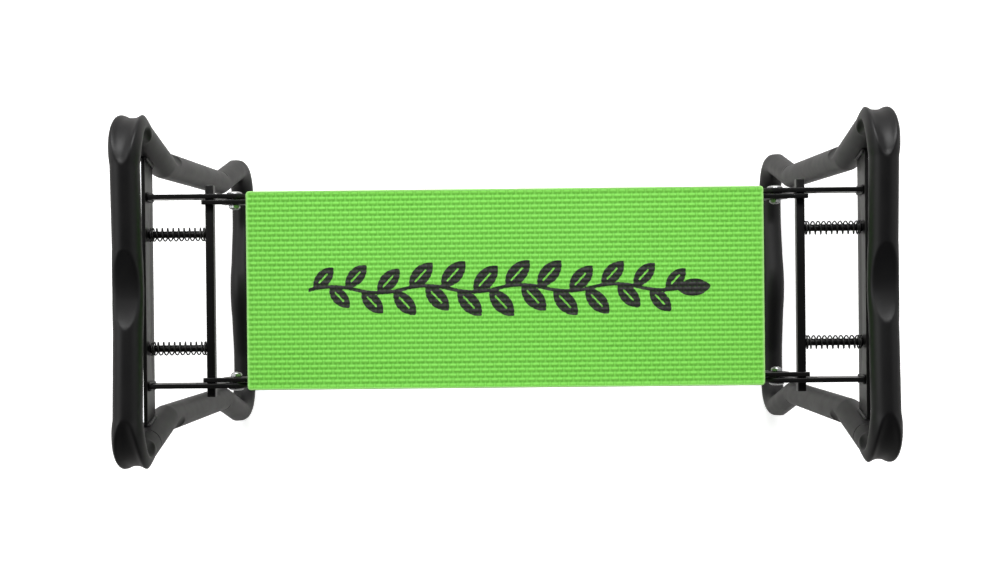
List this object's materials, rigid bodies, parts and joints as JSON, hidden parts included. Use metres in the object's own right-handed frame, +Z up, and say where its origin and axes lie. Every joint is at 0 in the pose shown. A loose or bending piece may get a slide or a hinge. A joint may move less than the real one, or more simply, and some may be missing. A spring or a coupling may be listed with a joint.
{
  "type": "garden kneeler seat",
  "caption": "Folding garden kneeler seat: foam-padded seat board between two bent-tube leg loops that fold under it, each held open by a sprung latch bar.",
  "frame": {"origin": "on the floor, under the middle of the seat", "axes": "+X along the seat towards the right leg loop, +Y across the seat to the rear, +Z up; shown open at sitting height"},
  "size_m": [0.5854, 0.2697, 0.4876],
  "materials": {
    "green_foam": "matte",
    "board": "matte",
    "tube_paint": "satin",
    "bar_paint": "satin",
    "spring_steel": "satin",
    "zinc_hardware": "satin"
  },
  "bodies": {
    "seat": {"foam_pad_top": "green_foam", "foam_pad_bottom": "green_foam", "board_top": "board", "board_bottom": "board", "cross_member_left": "bar_paint", "cross_member_middle": "bar_paint", "cross_member_right": "bar_paint", "side_rail_front": "bar_paint", "side_rail_rear": "bar_paint", "board_screw_top_1": "zinc_hardware", "board_screw_top_2": "zinc_hardware", "board_screw_top_3": "zinc_hardware", "board_screw_top_4": "zinc_hardware", "board_screw_bottom_1": "zinc_hardware", "board_screw_bottom_2": "zinc_hardware", "board_screw_bottom_3": "zinc_hardware", "board_screw_bottom_4": "zinc_hardware", "pivot_bolt_left_front": "zinc_hardware", "pivot_washer_left_front": "zinc_hardware", "pivot_nut_left_front": "zinc_hardware", "pivot_bolt_left_rear": "zinc_hardware", "pivot_washer_left_rear": "zinc_hardware", "pivot_nut_left_rear": "zinc_hardware", "pivot_bolt_right_front": "zinc_hardware", "pivot_washer_right_front": "zinc_hardware", "pivot_nut_right_front": "zinc_hardware", "pivot_bolt_right_rear": "zinc_hardware", "pivot_washer_right_rear": "zinc_hardware", "pivot_nut_right_rear": "zinc_hardware"},
    "left_leg": {"left_leg_loop": "tube_paint", "left_crossbar": "bar_paint", "left_hinge_arm_front": "bar_paint", "left_hinge_arm_rear": "bar_paint", "left_latch_spring_front": "spring_steel", "left_latch_spring_rear": "spring_steel"},
    "left_latch": {"left_latch_bar": "bar_paint", "left_latch_rod_front": "bar_paint", "left_latch_rod_rear": "bar_paint"},
    "right_leg": {"right_leg_loop": "tube_paint", "right_crossbar": "bar_paint", "right_hinge_arm_front": "bar_paint", "right_hinge_arm_rear": "bar_paint", "right_latch_spring_front": "spring_steel", "right_latch_spring_rear": "spring_steel"},
    "right_latch": {"right_latch_bar": "bar_paint", "right_latch_rod_front": "bar_paint", "right_latch_rod_rear": "bar_paint"}
  },
  "joints": [
    {"name": "left_leg_fold", "type": "hinge", "parent": "seat", "child": "left_leg", "pos_m": [-0.213, 0, 0.404], "axis": [0, -1, 0], "range_deg": [0, 94.5]},
    {"name": "right_leg_fold", "type": "hinge", "parent": "seat", "child": "right_leg", "pos_m": [0.213, 0, 0.404], "axis": [0, 1, 0], "range_deg": [0, 86.5]},
    {"name": "left_latch_slide", "type": "slide", "parent": "left_leg", "child": "left_latch", "axis": [-1, 0, 0], "range_m": [0, 0.0095], "stiffness_N_per_m": 900, "springref_m": -0.008, "deforming": ["left_latch_spring_front", "left_latch_spring_rear"]},
    {"name": "right_latch_slide", "type": "slide", "parent": "right_leg", "child": "right_latch", "axis": [1, 0, 0], "range_m": [0, 0.0095], "stiffness_N_per_m": 900, "springref_m": -0.008, "deforming": ["right_latch_spring_front", "right_latch_spring_rear"]}
  ]
}
